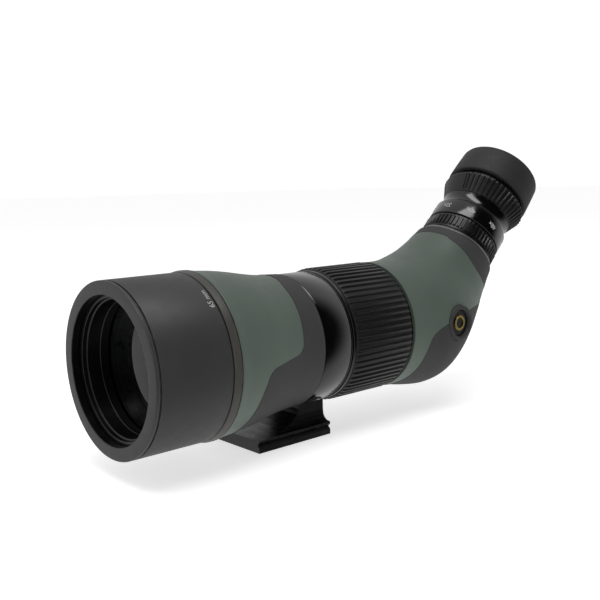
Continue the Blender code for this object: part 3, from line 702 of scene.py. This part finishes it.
def badge():
    """A rubber bezel, a gloss disc and a plain gold ring."""
    turned("badge_surround", [
        (39.6, 7.95), (40.3, 8.4), (40.5, 9.0), (40.4, 9.8), (40.0, 10.4), (39.3, 10.6), (37.7, 10.6),
        (37.7, 7.95)], BADGE, ARMOUR, "scope", ("badge_bezel",), steps=72)
    turned("badge_face", [(38.4, 0.01), (38.4, 7.3), (38.2, 7.5), (37.7, 7.5), (37.7, 0.01)], BADGE, GLOSS,
           "scope", ("badge_disc",), steps=72)
    turned("emblem_ring", [(38.4, 3.2), (39.0, 3.2), (39.1, 3.3), (39.1, 4.5), (39.0, 4.6), (38.4, 4.6)],
           BADGE, GOLD, "scope", ("badge_emblem",), steps=72)


for build in (objective_end, barrel_end, collar, focus, rear_body, eyepiece, badge):
    build()


# ---- studio ----

CAMERA_AT = Vector((0.2874, 0.3535, 0.1405))
FORWARD = Vector((-0.6517, -0.7452, -0.1413)).normalized()
RIGHT = Vector((-0.7507, 0.6604, -0.0206)).normalized()


def camera():
    """Ahead of the scope and a little above it, on its left."""
    data = bpy.data.cameras.new("camera")
    data.sensor_width = 36.0
    data.lens = 51.09
    data.clip_start, data.clip_end = 0.01, 50.0
    obj = bpy.data.objects.new("camera", data)
    up = RIGHT.cross(FORWARD).normalized()
    right = FORWARD.cross(up).normalized()
    rows = Matrix((right, up, -FORWARD)).transposed().to_4x4()
    obj.matrix_world = Matrix.Translation(CAMERA_AT) @ rows
    bpy.context.scene.collection.objects.link(obj)
    bpy.context.scene.camera = obj


def floor():
    """Pale paper that glows a little, so that it throws soft light on to the underside."""
    g = Graph("studio_floor_paper")
    tone = g.blend(g.noise(400.0, 2.0), (0.84, 0.84, 0.84), (0.86, 0.86, 0.86))
    g.join(tone, g.shader.inputs["Base Color"])
    g.shader.inputs["Roughness"].default_value = 0.9
    g.shader.inputs["Specular IOR Level"].default_value = 0.1
    g.shader.inputs["Emission Color"].default_value = (1.0, 1.0, 1.0, 1.0)
    g.shader.inputs["Emission Strength"].default_value = 0.62
    mesh = bpy.data.meshes.new("studio_floor")
    reach = 8.0
    mesh.from_pydata([(-reach, -reach, 0), (reach, -reach, 0), (reach, reach, 0), (-reach, reach, 0)], [],
                     [(0, 1, 2, 3)])
    obj = bpy.data.objects.new("studio_floor", mesh)
    mesh.materials.append(g.material)
    obj.visible_glossy = False
    bpy.context.scene.collection.objects.link(obj)


def surroundings():
    """White to the camera; otherwise soft light with a dark side that the glossy parts mirror."""
    world = bpy.data.worlds.new("studio")
    bpy.context.scene.world = world
    world.use_nodes = True
    nodes, links = world.node_tree.nodes, world.node_tree.links
    back = nodes["Background"]
    place = nodes.new("ShaderNodeTexCoord")
    dot = nodes.new("ShaderNodeVectorMath")
    dot.operation = "DOT_PRODUCT"
    dot.inputs[1].default_value = (0.05, 0.96, 0.26)
    links.new(place.outputs["Generated"], dot.inputs[0])
    ramp = nodes.new("ShaderNodeMapRange")
    ramp.interpolation_type = "SMOOTHSTEP"
    for socket, value in {"From Min": 0.22, "From Max": 0.68, "To Min": 0.60, "To Max": 0.012}.items():
        ramp.inputs[socket].default_value = value
    links.new(dot.outputs["Value"], ramp.inputs["Value"])
    path = nodes.new("ShaderNodeLightPath")
    seen = nodes.new("ShaderNodeMix")
    seen.data_type = "FLOAT"
    links.new(path.outputs["Is Camera Ray"], seen.inputs["Factor"])
    links.new(ramp.outputs["Result"], seen.inputs[2])
    seen.inputs[3].default_value = 1.05
    links.new(seen.outputs[0], back.inputs["Strength"])
    back.inputs["Color"].default_value = (1, 1, 1, 1)


def softbox(name, at, target, size, watts, mirrored=True):
    """A rectangular light; one that isn't mirrored lights surfaces but can't be seen in them."""
    data = bpy.data.lights.new(name, "AREA")
    data.shape = "RECTANGLE"
    data.size, data.size_y = size
    data.energy = watts
    obj = bpy.data.objects.new(name, data)
    bpy.context.scene.collection.objects.link(obj)
    obj.location = at
    obj.visible_glossy = mirrored
    obj.rotation_mode = "QUATERNION"
    obj.rotation_quaternion = (Vector(target) - Vector(at)).to_track_quat("-Z", "Y")


camera()
floor()
surroundings()
softbox("top_softbox", (0.15, 0.25, 1.3), (-0.03, 0, 0.05), (1.1, 0.5), 7.0)
softbox("side_fill", (0.35, 1.3, 0.55), (-0.03, 0, 0.06), (1.0, 1.0), 3.0, mirrored=False)
bpy.context.scene.view_settings.view_transform = "Standard"
